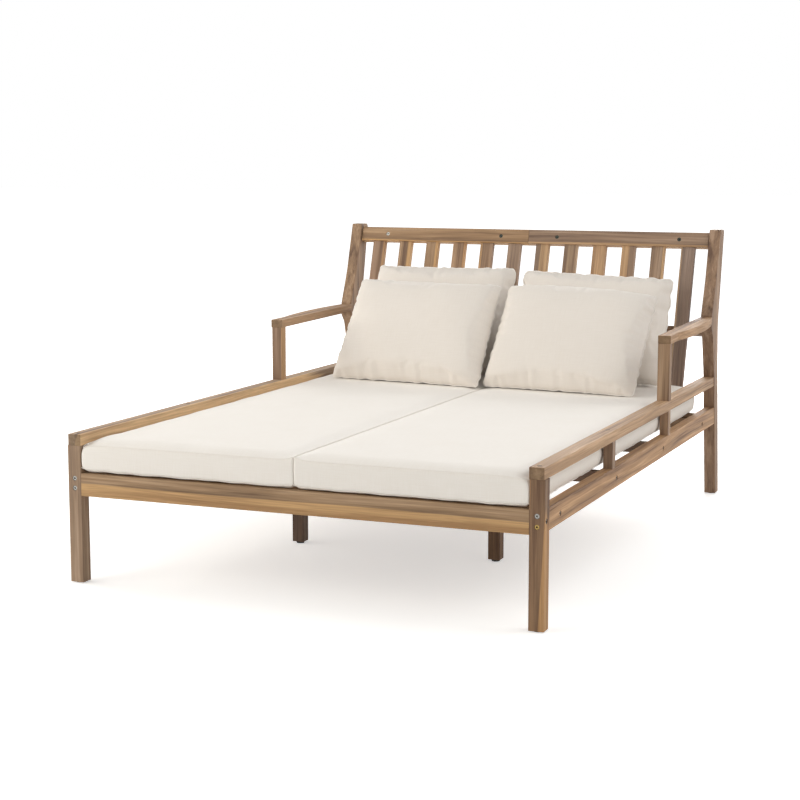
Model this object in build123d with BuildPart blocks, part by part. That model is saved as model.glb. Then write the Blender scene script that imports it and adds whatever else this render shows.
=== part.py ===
from build123d import *
from math import cos, radians, sin, tan
import os

# Outdoor daybed: a slatted hardwood frame, two seat cushions and four loose pillows.
# Millimetres. +X is to the right of someone who stands in front of it, +Y runs to the back, +Z is
# up. The origin lies on the floor, under the middle of the whole daybed.

# Overall frame
frame_width = 1356
frame_depth = 1957
frame_height = 906

# Clearances and finish of the timber
edge_round = 2
slat_round = 1.5
fit_clearance = 0.3
overrun = 5

# Floor glides
glide_radius = 12
glide_height = 3
mid_glide_height = 6.5

# Front legs
leg_width = 40.5
leg_depth = 38
leg_top = 381

# Side top rails, on the front legs and the spacers
side_rail_width = 40
side_rail_height = 31
side_inset = 2

# Side aprons, below them
deck_top = 306
apron_height = 57
apron_thickness = 32

# Front rail, between the legs
front_rail_height = 63
front_rail_thickness = 28

# Spacers between apron and side top rail
spacer_width = 27
spacer_depth = 29
spacer_inset = 3
front_spacer_place = 610

# Arm posts and armrests
arm_post_depth = 28
arm_post_place = 1233
arm_height = 587
armrest_thickness = 26
armrest_rise = 7
armrest_width = 40
armrest_bulge = 18
armrest_straight = 92

# Rear posts, sawn from wide boards. A reach is measured forwards from the back of the foot, and
# the shoulder's share is of the way from the knee to the top.
post_width = 38
post_foot_depth = 43
post_bend_reach = 104
post_bend_height = 424
post_root_reach = 138
post_root_height = 556
post_knee_reach = 160
post_knee_low = 580
post_knee_high = 625
post_shoulder_share = 0.416
post_top_reach = 58
post_top_depth = 57
post_waist_reach = 67
post_waist_height = 585
post_bend_round = 200
post_root_round = 40
post_knee_round = 8
post_shoulder_round = 150
post_waist_round = 300
post_top_round = 12

# Back, leaning between the rear posts
back_lean = 17.4
back_rail_reach = 67
back_rail_drop = 58
back_rail_height = 50
back_rail_depth = 34
back_joint_gap = 1
back_rail_end_gap = 3
housing_wall = 6
housing_depth = 20
slat_count = 12
slat_end_gap = 47.8
slat_width = 47
slat_thickness = 20
slat_foot_height = 262
mid_rail_place = 297
mid_rail_height = 28
mid_rail_depth = 28
batten_length = 150
batten_height = 34
batten_thickness = 15

# Seat deck: cross bearers between the aprons, slats along them, legs under the middle
bearer_places = (133, 653, 1177)
bearer_width = 30
bearer_height = 32
back_bearer_width = 30
back_bearer_height = 47
seat_slat_count = 8
seat_slat_width = 90
seat_slat_thickness = 15
seat_slat_side_gap = 54
seat_slat_rest = 15
mid_leg_size = 36
mid_leg_share = 0.46

# Socket bolts in counterbores, barrel nuts, screws and plugs
bolt_radius = 3
bolt_head_radius = 6.5
bolt_head_thickness = 3.5
bolt_socket_radius = 3
bolt_socket_depth = 2
bolt_recess_radius = 7
bolt_recess_depth = 5
leg_bolt_spread = 27
nut_radius = 5
nut_length = 20
nut_setback = 25
bolt_past_nut = 9
end_bolt_gap = 8.6
rail_bolt_length = 45
screw_radius = 2.5
screw_head_radius = 4.5
screw_head_thickness = 3
screw_length = 52
plug_radius = 6
plug_thickness = 6
plug_proud = 0.4
front_plug_place = 22

# Seat cushions, boxed, with a seam round the top and the bottom
cushion_front = 14
cushion_thickness = 78
cushion_crown = 14
cushion_seam_lift = 7
cushion_draw = 3
cushion_gap = 1
cushion_side_gap = 1.5
cushion_crown_shares = ((0, 0), (0.5, 0.09), (0.86, 0.28), (1, 0.57))

# Pillows, knife edged, their height set by the room under the top back rail
pillow_rail_gap = 89
pillow_thickness = 160
pillow_draw = 9
pillow_bulge = 20
pillow_foot_swell = 3.1
pillow_face_swell = 5.2
rear_pillow_gap = 0.4
rear_pillow_drop = 1.7
front_pillow_lean = 32
pillow_face_shares = ((0, 0), (0.42, 0.1), (0.72, 0.25), (0.93, 0.45), (1, 0.65))

# Corners of each pillow's seam: bottom outer and inner, top outer and inner. Outer corners are
# measured from the outer side of the seat cushion, inner ones from the middle of the daybed.
rear_left_corners = (114.5, 1, 131.5, 2)
rear_right_corners = (79.5, 25, 85.5, 41)
front_left_corners = (95.5, 1, 130.5, 3)
front_right_corners = (93.5, 9, 97.5, 40)


def station(distance):
    """The Y of a place that lies this far behind the front faces of the legs."""
    return distance - frame_depth / 2


def reach(distance):
    """The Y of a place that lies this far in front of the back of the rear feet."""
    return frame_depth / 2 - distance


half_width = frame_width / 2
leg_inner = half_width - leg_width
rail_outer = half_width - side_inset
rail_inner = rail_outer - side_rail_width
rail_top = leg_top + side_rail_height
apron_inner = rail_outer - apron_thickness
apron_bottom = deck_top - apron_height
post_inner = half_width - post_width
lean_sin = sin(radians(back_lean))
lean_cos = cos(radians(back_lean))
lean_tan = tan(radians(back_lean))
back_rail_bottom = frame_height - back_rail_drop
slat_pitch = (2 * (post_inner - slat_end_gap) - slat_width) / (slat_count - 1)

# Above the shoulder the front edge of the rear posts runs along with the back
post_shoulder_height = post_knee_high + (frame_height - post_knee_high) * post_shoulder_share
post_shoulder_reach = post_top_reach + (frame_height - post_shoulder_height) * lean_tan

# The back plane lies in the front face of the top back rail, from its lower edge upwards
back_plane = Plane(
    origin=(0, reach(back_rail_reach), back_rail_bottom),
    x_dir=(1, 0, 0),
    z_dir=(0, -lean_cos, lean_sin),
)
slat_plane = back_plane.offset(-housing_wall)


def slat_front(height):
    """The Y of the front faces of the back slats at this height."""
    return reach(back_rail_reach) + housing_wall / lean_cos - (back_rail_bottom - height) * lean_tan


os.makedirs("parts", exist_ok=True)


def write_piece(piece, name):
    """One finished piece, under its own name."""
    piece.part.label = name
    export_step(piece.part, f"parts/{name}.step")


def write_pair(right_piece, name):
    """A right-hand piece and its mirror image on the left."""
    write_piece(right_piece, name + "_right")
    with BuildPart() as left_piece:
        mirror(right_piece.part, about=Plane.YZ)
    write_piece(left_piece, name + "_left")


# Fasteners. Each is set by a plane on the timber's face whose Z points out of the timber.
def bolt_pocket(face, length):
    """The space a bolt needs: a wide recess for its head and a hole for its shank."""
    with BuildPart() as pocket:
        with BuildSketch(face.offset(-bolt_recess_depth)):
            Circle(bolt_recess_radius)
        extrude(amount=bolt_recess_depth + overrun)
        with BuildSketch(face.offset(-length - fit_clearance)):
            Circle(bolt_radius + fit_clearance)
        extrude(amount=length)
    return pocket.part


def bolt_shape(face, length):
    """A bolt with a low round head and a hexagon socket, its head on the floor of the recess."""
    head_top = bolt_head_thickness - bolt_recess_depth
    with BuildPart() as bolt:
        with BuildSketch(face.offset(-bolt_recess_depth)):
            Circle(bolt_head_radius)
        extrude(amount=bolt_head_thickness)
        with BuildSketch(face.offset(-length)):
            Circle(bolt_radius)
        extrude(amount=length - bolt_recess_depth)
        with BuildSketch(face.offset(head_top - bolt_socket_depth)):
            RegularPolygon(bolt_socket_radius, 6)
        extrude(amount=bolt_socket_depth + overrun, mode=Mode.SUBTRACT)
    return bolt.part


def nut_pocket(face, depth):
    """The blind hole that a barrel nut is dropped into, its floor nut_length / 2 past the bolt."""
    with BuildPart() as pocket:
        with BuildSketch(face.offset(-depth - nut_length / 2)):
            Circle(nut_radius)
        extrude(amount=depth + nut_length / 2 + overrun)
    return pocket.part


def nut_shape(face, depth):
    """A barrel nut, centred on the bolt that lies this deep under the face."""
    with BuildPart() as nut:
        with BuildSketch(face.offset(-depth - nut_length / 2)):
            Circle(nut_radius)
        extrude(amount=nut_length)
    return nut.part


def face_plane(x, y, z, outwards):
    """A plane at a place on the timber, facing outwards."""
    return Plane(origin=(x, y, z), z_dir=outwards)


# Leg bolts: two through the front leg into the apron's end, one through its side into the rail
apron_middle = deck_top - apron_height / 2
leg_middle = half_width - leg_width / 2
leg_bolt_length = leg_depth + nut_setback + bolt_past_nut
leg_bolt_planes = [
    face_plane(leg_middle, station(0), apron_middle + side * leg_bolt_spread / 2, (0, -1, 0))
    for side in (-1, 1)
]
leg_nut_planes = [
    face_plane(apron_inner, station(leg_depth + nut_setback), plane.origin.Z, (-1, 0, 0))
    for plane in leg_bolt_planes
]
leg_nut_depth = leg_middle - apron_inner
side_bolt_place = front_rail_thickness / 2
side_bolt_length = leg_width + nut_setback + bolt_past_nut
side_bolt_plane = face_plane(half_width, station(side_bolt_place), apron_middle, (1, 0, 0))
side_nut_plane = face_plane(
    leg_inner - nut_setback, station(front_rail_thickness), apron_middle, (0, 1, 0)
)
side_nut_depth = front_rail_thickness - side_bolt_place

# Bearer bolts: one through the apron into each end of each cross bearer
deck_bottom = deck_top - seat_slat_thickness
bearer_middle = deck_bottom - bearer_height / 2
back_bearer_rear = slat_front(deck_top - back_bearer_height)
back_bearer_front = back_bearer_rear - back_bearer_width
back_bearer_middle = back_bearer_front + back_bearer_width / 2
bearer_stations = [station(place) for place in bearer_places] + [back_bearer_middle]
bearer_bolt_length = apron_thickness + nut_setback + bolt_past_nut
bearer_bolt_planes = [face_plane(rail_outer, y, bearer_middle, (1, 0, 0)) for y in bearer_stations]
bearer_bottoms = [deck_bottom - bearer_height] * len(bearer_places)
bearer_bottoms.append(deck_top - back_bearer_height)
bearer_nut_planes = [
    face_plane(apron_inner - nut_setback, y, bottom, (0, 0, -1))
    for y, bottom in zip(bearer_stations, bearer_bottoms)
]
bearer_nut_depths = [bearer_middle - bottom for bottom in bearer_bottoms]

# Post bolts: from behind, through the rear post into the ends of the apron and the side top rail
rail_middle = rail_top - side_rail_height / 2
post_middle = half_width - post_width / 2


def post_line(low_reach, low, high_reach, high, height):
    """The Y of a straight stretch of the rear post's outline at this height."""
    share = (height - low) / (high - low)
    return reach(low_reach + (high_reach - low_reach) * share)


def post_front(height):
    """The Y of the post's front edge below the bend."""
    return post_line(post_foot_depth, glide_height, post_bend_reach, post_bend_height, height)


def post_back(height):
    """The Y of the post's back edge below the waist."""
    return post_line(0, glide_height, post_waist_reach, post_waist_height, height)


post_bolt_heights = (apron_middle, rail_middle)
post_bolt_planes = [
    face_plane(post_middle, post_back(height), height, (0, 1, 0)) for height in post_bolt_heights
]
post_bolt_lengths = [
    post_back(height) - post_front(height) + nut_setback + bolt_past_nut
    for height in post_bolt_heights
]
post_nut_planes = [
    face_plane(inner, post_front(height) - nut_setback, height, (-1, 0, 0))
    for inner, height in zip((apron_inner, rail_inner), post_bolt_heights)
]
post_nut_depths = [post_middle - apron_inner, post_middle - rail_inner]

# Back rail bolts: through each half of the top back rail into the battens behind it
last_slat_side = (slat_count - 1) / 2 * slat_pitch - slat_width / 2
rail_bolt_planes = [
    Plane(
        origin=back_plane.from_local_coords((x, back_rail_height / 2, 0)),
        x_dir=(1, 0, 0),
        z_dir=back_plane.z_dir,
    )
    for x in (slat_pitch, last_slat_side - end_bolt_gap)
]

# Rail screws: down through the side top rail, under a round plug
screw_middle = rail_outer - side_rail_width / 2
screw_stations = [station(front_plug_place), station(front_spacer_place + spacer_depth / 2)]
screw_planes = [face_plane(screw_middle, y, rail_top, (0, 0, 1)) for y in screw_stations]
screw_sink = plug_thickness - plug_proud + screw_head_thickness


def screw_pocket(plane):
    """The plug's hole, as deep as plug and screw head, and the hole for the screw under it."""
    with BuildPart() as pocket:
        with BuildSketch(plane.offset(-screw_sink)):
            Circle(plug_radius)
        extrude(amount=screw_sink + overrun)
        with BuildSketch(plane.offset(-screw_sink - screw_length - fit_clearance)):
            Circle(screw_radius + fit_clearance)
        extrude(amount=screw_length + fit_clearance)
    return pocket.part


# Front legs
with BuildPart() as front_leg:
    with BuildSketch(Plane.XY.offset(glide_height)):
        with Locations((leg_middle, station(leg_depth / 2))):
            Rectangle(leg_width, leg_depth)
    extrude(amount=leg_top - glide_height)
    fillet(front_leg.edges().filter_by(Axis.Z), edge_round)
    for plane in leg_bolt_planes:
        add(bolt_pocket(plane, leg_bolt_length), mode=Mode.SUBTRACT)
    add(bolt_pocket(side_bolt_plane, side_bolt_length), mode=Mode.SUBTRACT)
    add(screw_pocket(screw_planes[0]), mode=Mode.SUBTRACT)
write_pair(front_leg, "front_leg")

# Rear posts: a sabre-shaped board that is leg, arm stop and back stile in one
with BuildPart() as rear_post:
    with BuildSketch(Plane.YZ.offset(post_inner)):
        with BuildLine():
            Polyline(
                (reach(post_foot_depth), glide_height),
                (reach(post_bend_reach), post_bend_height),
                (reach(post_root_reach), post_root_height),
                (reach(post_knee_reach), post_knee_low),
                (reach(post_knee_reach), post_knee_high),
                (reach(post_shoulder_reach), post_shoulder_height),
                (reach(post_top_reach), frame_height),
                (reach(post_top_reach - post_top_depth), frame_height),
                (reach(post_waist_reach), post_waist_height),
                (reach(0), glide_height),
                close=True,
            )
        make_face()
    extrude(amount=post_width)
    along = rear_post.edges().filter_by(Axis.X)
    for height, radius, pick in (
        (post_bend_height, post_bend_round, 0),
        (post_root_height, post_root_round, 0),
        (post_knee_low, post_knee_round, 0),
        (post_knee_high, post_knee_round, 0),
        (post_shoulder_height, post_shoulder_round, 0),
        (post_waist_height, post_waist_round, 0),
        (frame_height, edge_round, 0),
        (frame_height, post_top_round, -1),
    ):
        at_height = [edge for edge in along if abs(edge.center().Z - height) < fit_clearance]
        fillet(ShapeList(at_height).sort_by(Axis.Y)[pick], radius)
    inner_face = rear_post.faces().sort_by(Axis.X)[0]
    outer_face = rear_post.faces().sort_by(Axis.X)[-1]
    fillet(inner_face.edges() + outer_face.edges(), edge_round)
    for plane, length in zip(post_bolt_planes, post_bolt_lengths):
        add(bolt_pocket(plane, length), mode=Mode.SUBTRACT)
write_pair(rear_post, "rear_post")

# Side top rails, on the front legs and spacers, cut to the slope of the rear posts
with BuildPart() as side_top_rail:
    with BuildSketch(Plane.YZ.offset(rail_inner)):
        with BuildLine():
            Polyline(
                (station(0), leg_top),
                (post_front(leg_top), leg_top),
                (post_front(rail_top), rail_top),
                (station(0), rail_top),
                close=True,
            )
        make_face()
    extrude(amount=side_rail_width)
    front_end = side_top_rail.faces().sort_by(Axis.Y)[0]
    fillet(side_top_rail.edges().filter_by(Axis.Y) + front_end.edges(), edge_round)
    for plane in screw_planes:
        add(screw_pocket(plane), mode=Mode.SUBTRACT)
    add(bolt_pocket(post_bolt_planes[1], post_bolt_lengths[1]), mode=Mode.SUBTRACT)
    add(nut_pocket(post_nut_planes[1], post_nut_depths[1]), mode=Mode.SUBTRACT)
write_pair(side_top_rail, "side_top_rail")

# Side aprons, bolted to the front legs, the rear posts and the ends of the cross bearers
with BuildPart() as side_apron:
    with BuildSketch(Plane.YZ.offset(apron_inner)):
        with BuildLine():
            Polyline(
                (station(leg_depth), apron_bottom),
                (post_front(apron_bottom), apron_bottom),
                (post_front(deck_top), deck_top),
                (station(leg_depth), deck_top),
                close=True,
            )
        make_face()
    extrude(amount=apron_thickness)
    fillet(side_apron.edges().filter_by(Axis.Y), edge_round)
    for plane in leg_bolt_planes:
        add(bolt_pocket(plane, leg_bolt_length), mode=Mode.SUBTRACT)
    for plane in leg_nut_planes:
        add(nut_pocket(plane, leg_nut_depth), mode=Mode.SUBTRACT)
    for plane in bearer_bolt_planes:
        add(bolt_pocket(plane, bearer_bolt_length), mode=Mode.SUBTRACT)
    add(bolt_pocket(post_bolt_planes[0], post_bolt_lengths[0]), mode=Mode.SUBTRACT)
    add(nut_pocket(post_nut_planes[0], post_nut_depths[0]), mode=Mode.SUBTRACT)
write_pair(side_apron, "side_apron")

# Front rail, a straight board between the front legs
with BuildPart() as front_rail:
    with BuildSketch(Plane.YZ):
        with Locations((station(0), deck_top - front_rail_height)):
            Rectangle(front_rail_thickness, front_rail_height, align=(Align.MIN, Align.MIN))
    extrude(amount=leg_inner, both=True)
    fillet(front_rail.edges().filter_by(Axis.X), edge_round)
    side_bolt_hole = bolt_pocket(side_bolt_plane, side_bolt_length)
    side_nut_hole = nut_pocket(side_nut_plane, side_nut_depth)
    for hole in (side_bolt_hole, side_nut_hole):
        add(hole, mode=Mode.SUBTRACT)
        mirror(hole, about=Plane.YZ, mode=Mode.SUBTRACT)
write_piece(front_rail, "front_rail")

# Spacers, short uprights that carry the side top rail on the apron
for spacer_name, spacer_place in (("front", front_spacer_place), ("rear", arm_post_place)):
    with BuildPart() as spacer:
        with BuildSketch(Plane.XY.offset(deck_top)):
            with Locations((half_width - spacer_inset - spacer_width, station(spacer_place))):
                Rectangle(spacer_width, spacer_depth, align=(Align.MIN, Align.MIN))
        extrude(amount=leg_top - deck_top)
        fillet(spacer.edges().filter_by(Axis.Z), slat_round)
        if spacer_name == "front":
            add(screw_pocket(screw_planes[1]), mode=Mode.SUBTRACT)
    write_pair(spacer, spacer_name + "_spacer")

# Armrests: flat boards that bow outwards and rise a little, from the arm post to the rear post
armrest_inner = half_width - armrest_width
armrest_length = reach(post_knee_reach) - station(arm_post_place)
armrest_slope = armrest_rise / armrest_length
with BuildPart() as armrest:
    with BuildSketch(Plane.XY.offset(arm_height)):
        with BuildLine():
            bow_start = (half_width, station(arm_post_place + armrest_straight))
            bow_end = (half_width, reach(post_knee_reach))
            bow_middle = (half_width + armrest_bulge, (bow_start[1] + bow_end[1]) / 2)
            ThreePointArc(bow_start, bow_middle, bow_end)
            Polyline(
                bow_end,
                (armrest_inner, reach(post_knee_reach)),
                (armrest_inner, station(arm_post_place)),
                (half_width, station(arm_post_place)),
                bow_start,
            )
        make_face()
    extrude(amount=armrest_thickness + armrest_rise)
    with BuildSketch(Plane.YZ.offset(armrest_inner)):
        with BuildLine():
            Polyline(
                (station(arm_post_place), arm_height),
                (reach(post_knee_reach), arm_height + armrest_rise),
                (reach(post_knee_reach), arm_height + armrest_rise + armrest_thickness),
                (station(arm_post_place), arm_height + armrest_thickness),
                close=True,
            )
        make_face()
    extrude(amount=armrest_width + armrest_bulge, mode=Mode.INTERSECT)
    top_face = armrest.faces().sort_by(Axis.Z)[-1]
    bottom_face = armrest.faces().sort_by(Axis.Z)[0]
    fillet(top_face.edges() + bottom_face.edges(), edge_round)
write_pair(armrest, "armrest")

# Arm posts, uprights on the side top rail over the rear spacers
with BuildPart() as arm_post:
    with BuildSketch(Plane.YZ.offset(armrest_inner)):
        with BuildLine():
            Polyline(
                (station(arm_post_place), rail_top),
                (station(arm_post_place + arm_post_depth), rail_top),
                (station(arm_post_place + arm_post_depth), arm_height + arm_post_depth * armrest_slope),
                (station(arm_post_place), arm_height),
                close=True,
            )
        make_face()
    extrude(amount=rail_outer - armrest_inner)
    fillet(arm_post.edges().filter_by(Axis.Z), edge_round)
write_pair(arm_post, "arm_post")

# Cross bearers, bolted between the aprons
for index, y in enumerate(bearer_stations[:-1]):
    with BuildPart() as cross_bearer:
        with BuildSketch(Plane.YZ):
            with Locations((y, bearer_middle)):
                Rectangle(bearer_width, bearer_height)
        extrude(amount=apron_inner, both=True)
        bolt_hole = bolt_pocket(bearer_bolt_planes[index], bearer_bolt_length)
        nut_hole = nut_pocket(bearer_nut_planes[index], bearer_nut_depths[index])
        for hole in (bolt_hole, nut_hole):
            add(hole, mode=Mode.SUBTRACT)
            mirror(hole, about=Plane.YZ, mode=Mode.SUBTRACT)
    write_piece(cross_bearer, f"cross_bearer_{index + 1}")

# Back bearer, deeper, rebated for the seat slats and bevelled for the feet of the back slats
with BuildPart() as back_bearer:
    with BuildSketch(Plane.YZ):
        with BuildLine():
            Polyline(
                (back_bearer_front, bearer_bottoms[-1]),
                (back_bearer_rear, bearer_bottoms[-1]),
                (slat_front(deck_top), deck_top),
                (back_bearer_front + seat_slat_rest, deck_top),
                (back_bearer_front + seat_slat_rest, deck_bottom),
                (back_bearer_front, deck_bottom),
                close=True,
            )
        make_face()
    extrude(amount=apron_inner, both=True)
    back_bolt_hole = bolt_pocket(bearer_bolt_planes[-1], bearer_bolt_length)
    back_nut_hole = nut_pocket(bearer_nut_planes[-1], bearer_nut_depths[-1])
    for hole in (back_bolt_hole, back_nut_hole):
        add(hole, mode=Mode.SUBTRACT)
        mirror(hole, about=Plane.YZ, mode=Mode.SUBTRACT)
write_piece(back_bearer, "back_bearer")

# Middle legs, short square uprights behind the second bearer
mid_leg_front = bearer_stations[1] + bearer_width / 2
mid_leg_place = half_width * mid_leg_share
with BuildPart() as mid_leg:
    with BuildSketch(Plane.XY.offset(mid_glide_height)):
        with Locations((mid_leg_place, mid_leg_front + mid_leg_size / 2)):
            Rectangle(mid_leg_size, mid_leg_size)
    extrude(amount=deck_bottom - mid_glide_height)
    fillet(mid_leg.edges().filter_by(Axis.Z), edge_round)
write_pair(mid_leg, "mid_leg")

# Seat slats, laid lengthwise on the bearers and let into the rebate of the back bearer
seat_slat_spread = 2 * (apron_inner - seat_slat_side_gap)
seat_slat_pitch = (seat_slat_spread - seat_slat_width) / (seat_slat_count - 1)
seat_slat_back = back_bearer_front + seat_slat_rest
for index in range(seat_slat_count):
    slat_middle = (index - (seat_slat_count - 1) / 2) * seat_slat_pitch
    with BuildPart() as seat_slat:
        with BuildSketch(Plane.XZ.offset(-station(front_rail_thickness))):
            with Locations((slat_middle, deck_top - seat_slat_thickness / 2)):
                Rectangle(seat_slat_width, seat_slat_thickness)
        extrude(amount=station(front_rail_thickness) - seat_slat_back)
        fillet(seat_slat.edges().filter_by(Axis.Y), slat_round)
    write_piece(seat_slat, f"seat_slat_{index + 1}")

# Back slats, housed in the top back rail and resting on the bevel of the back bearer
slat_foot = (slat_foot_height - back_rail_bottom) / lean_cos
back_slats = []
for index in range(slat_count):
    slat_middle = (index - (slat_count - 1) / 2) * slat_pitch
    with BuildPart() as back_slat:
        with BuildSketch(slat_plane):
            with Locations((slat_middle, slat_foot)):
                Rectangle(slat_width, housing_depth - slat_foot, align=(Align.CENTER, Align.MIN))
        extrude(amount=-slat_thickness)
        fillet(back_slat.edges().sort_by(SortBy.LENGTH)[-4:], slat_round)
    write_piece(back_slat, f"back_slat_{index + 1}")
    back_slats.append(back_slat.part)

# Top back rail, two halves that meet at the middle, mortised underneath for the slats
with BuildPart() as top_back_rail:
    with BuildSketch(back_plane):
        with Locations((back_joint_gap / 2, 0)):
            Rectangle(
                post_inner - back_rail_end_gap - back_joint_gap / 2,
                back_rail_height,
                align=(Align.MIN, Align.MIN),
            )
    extrude(amount=-back_rail_depth)
    fillet(top_back_rail.edges().filter_by(Axis.X), edge_round)
    for slat in back_slats[slat_count // 2:]:
        add(slat, mode=Mode.SUBTRACT)
    for plane in rail_bolt_planes:
        add(bolt_pocket(plane, rail_bolt_length), mode=Mode.SUBTRACT)
write_pair(top_back_rail, "top_back_rail")

# Battens behind the top back rail: one joins the halves, one ties each half to its post
batten_plane = back_plane.offset(-back_rail_depth)
with BuildPart() as middle_batten:
    with BuildSketch(batten_plane):
        with Locations((0, back_rail_height / 2)):
            Rectangle(2 * batten_length, batten_height)
    extrude(amount=-batten_thickness)
    rail_bolt_hole = bolt_pocket(rail_bolt_planes[0], rail_bolt_length)
    add(rail_bolt_hole, mode=Mode.SUBTRACT)
    mirror(rail_bolt_hole, about=Plane.YZ, mode=Mode.SUBTRACT)
write_piece(middle_batten, "back_batten_middle")

with BuildPart() as end_batten:
    with BuildSketch(batten_plane):
        with Locations((post_inner, back_rail_height / 2)):
            Rectangle(batten_length, batten_height, align=(Align.MAX, Align.CENTER))
    extrude(amount=-batten_thickness)
    add(bolt_pocket(rail_bolt_planes[1], rail_bolt_length), mode=Mode.SUBTRACT)
write_pair(end_batten, "back_batten")

# Middle back rail, behind the slats, between the rear posts
with BuildPart() as mid_back_rail:
    with BuildSketch(slat_plane.offset(-slat_thickness)):
        with Locations((0, -mid_rail_place)):
            Rectangle(2 * post_inner, mid_rail_height, align=(Align.CENTER, Align.MIN))
    extrude(amount=-mid_rail_depth)
    fillet(mid_back_rail.edges().filter_by(Axis.X), edge_round)
write_piece(mid_back_rail, "mid_back_rail")

# Fastener groups, each bolt, nut, screw and plug a solid of its own
bolt_list = [(plane, leg_bolt_length) for plane in leg_bolt_planes]
bolt_list.append((side_bolt_plane, side_bolt_length))
bolt_list += [(plane, bearer_bolt_length) for plane in bearer_bolt_planes]
bolt_list += list(zip(post_bolt_planes, post_bolt_lengths))
bolt_list += [(plane, rail_bolt_length) for plane in rail_bolt_planes]
with BuildPart() as frame_bolts:
    for plane, length in bolt_list:
        bolt = bolt_shape(plane, length)
        add(bolt)
        mirror(bolt, about=Plane.YZ)
write_piece(frame_bolts, "frame_bolts")

nut_list = [(plane, leg_nut_depth) for plane in leg_nut_planes]
nut_list.append((side_nut_plane, side_nut_depth))
nut_list += list(zip(bearer_nut_planes, bearer_nut_depths))
nut_list += list(zip(post_nut_planes, post_nut_depths))
with BuildPart() as barrel_nuts:
    for plane, depth in nut_list:
        nut = nut_shape(plane, depth)
        add(nut)
        mirror(nut, about=Plane.YZ)
    for plane, length in bolt_list:
        bore = bolt_pocket(plane, length)
        add(bore, mode=Mode.SUBTRACT)
        mirror(bore, about=Plane.YZ, mode=Mode.SUBTRACT)
write_piece(barrel_nuts, "barrel_nuts")

with BuildPart() as rail_screws:
    for plane in screw_planes:
        with BuildSketch(plane.offset(-screw_sink)):
            Circle(screw_head_radius)
        extrude(amount=screw_head_thickness)
        with BuildSketch(plane.offset(-screw_sink - screw_length)):
            Circle(screw_radius)
        extrude(amount=screw_length)
    mirror(about=Plane.YZ)
write_piece(rail_screws, "rail_screws")

with BuildPart() as rail_plugs:
    for plane in screw_planes:
        with BuildSketch(plane.offset(plug_proud - plug_thickness)):
            Circle(plug_radius)
        extrude(amount=plug_thickness)
    mirror(about=Plane.YZ)
write_piece(rail_plugs, "rail_plugs")

with BuildPart() as floor_glides:
    with BuildSketch(Plane.XY):
        with Locations(
            (leg_middle, station(leg_depth / 2)),
            (post_middle, reach(post_foot_depth / 2)),
        ):
            Circle(glide_radius)
    extrude(amount=glide_height)
    with BuildSketch(Plane.XY):
        with Locations((mid_leg_place, mid_leg_front + mid_leg_size / 2)):
            Circle(glide_radius)
    extrude(amount=mid_glide_height)
    mirror(about=Plane.YZ)
write_piece(floor_glides, "floor_glides")


def soft_outline(plane, corners, draw):
    """A closed outline of four arcs through the corners, each side drawn in at its middle."""
    middle = sum((Vector(*corner) for corner in corners), Vector()) / len(corners)
    with BuildSketch(plane) as outline:
        with BuildLine():
            for start, end in zip(corners, corners[1:] + corners[:1]):
                half = (Vector(*start) + Vector(*end)) / 2
                along = (Vector(*end) - Vector(*start)).normalized()
                inwards = Vector(-along.Y, along.X)
                if inwards.dot(middle - half) < 0:
                    inwards = -inwards
                ThreePointArc(start, tuple(half + inwards * draw)[:2], end)
        make_face()
    return outline.sketch


# Seat cushions: boxed foam with a crown, each from the middle to the side rail
cushion_base = deck_top + fit_clearance
cushion_seam = cushion_base + cushion_thickness
cushion_top = cushion_seam + cushion_crown
cushion_outer = rail_inner - cushion_side_gap
crown_inset = (cushion_outer - cushion_gap) / 2


def cushion_level(height, inset):
    """The cushion's outline at this height, set in from the seam all round."""
    front = station(cushion_front) + inset
    rear = slat_front(height) - fit_clearance - inset
    corners = [
        (cushion_gap / 2 + inset, front),
        (cushion_outer - inset, front),
        (cushion_outer - inset, rear),
        (cushion_gap / 2 + inset, rear),
    ]
    return soft_outline(Plane.XY.offset(height), corners, cushion_draw)


lower_seam = cushion_base + cushion_seam_lift
with BuildPart() as seat_cushion:
    loft([cushion_level(cushion_base, cushion_seam_lift), cushion_level(lower_seam, 0)], ruled=True)
    loft([cushion_level(lower_seam, 0), cushion_level(cushion_seam, 0)], ruled=True)
    loft(
        [
            cushion_level(cushion_seam + rise * cushion_crown, inset * crown_inset)
            for rise, inset in cushion_crown_shares
        ]
    )
write_pair(seat_cushion, "seat_cushion")


# Pillows: two crowned faces that meet at a seam, leaning back
pillow_height = (back_rail_bottom - pillow_rail_gap - cushion_top) / lean_cos


def pillow_level(plane, corners, side, face_side, thick_share, inset_share):
    """The pillow's outline at its share of half the thickness, on this side of the seam's plane."""
    inset = inset_share * pillow_height / 2
    bottom_outer, bottom_inner, top_outer, top_inner = corners
    draw = pillow_draw - thick_share * (pillow_draw + pillow_bulge)
    outline_corners = [
        (side * (bottom_inner + inset), inset),
        (side * (cushion_outer - bottom_outer - inset), inset),
        (side * (cushion_outer - top_outer - inset), pillow_height - inset),
        (side * (top_inner + inset), pillow_height - inset),
    ]
    rise = face_side * thick_share * pillow_thickness / 2
    return soft_outline(plane.offset(rise), outline_corners, draw)


def leaning_plane(y, z, lean):
    """A plane along X that leans back from this place, facing the front."""
    return Plane(
        origin=(0, y, z),
        x_dir=(1, 0, 0),
        z_dir=(0, -cos(radians(lean)), sin(radians(lean))),
    )


rear_pillow_base = cushion_top - rear_pillow_drop
rear_pillow_setoff = (pillow_thickness / 2 + rear_pillow_gap) / lean_cos
rear_pillow_plane = leaning_plane(
    slat_front(rear_pillow_base) - rear_pillow_setoff, rear_pillow_base, back_lean
)

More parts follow.
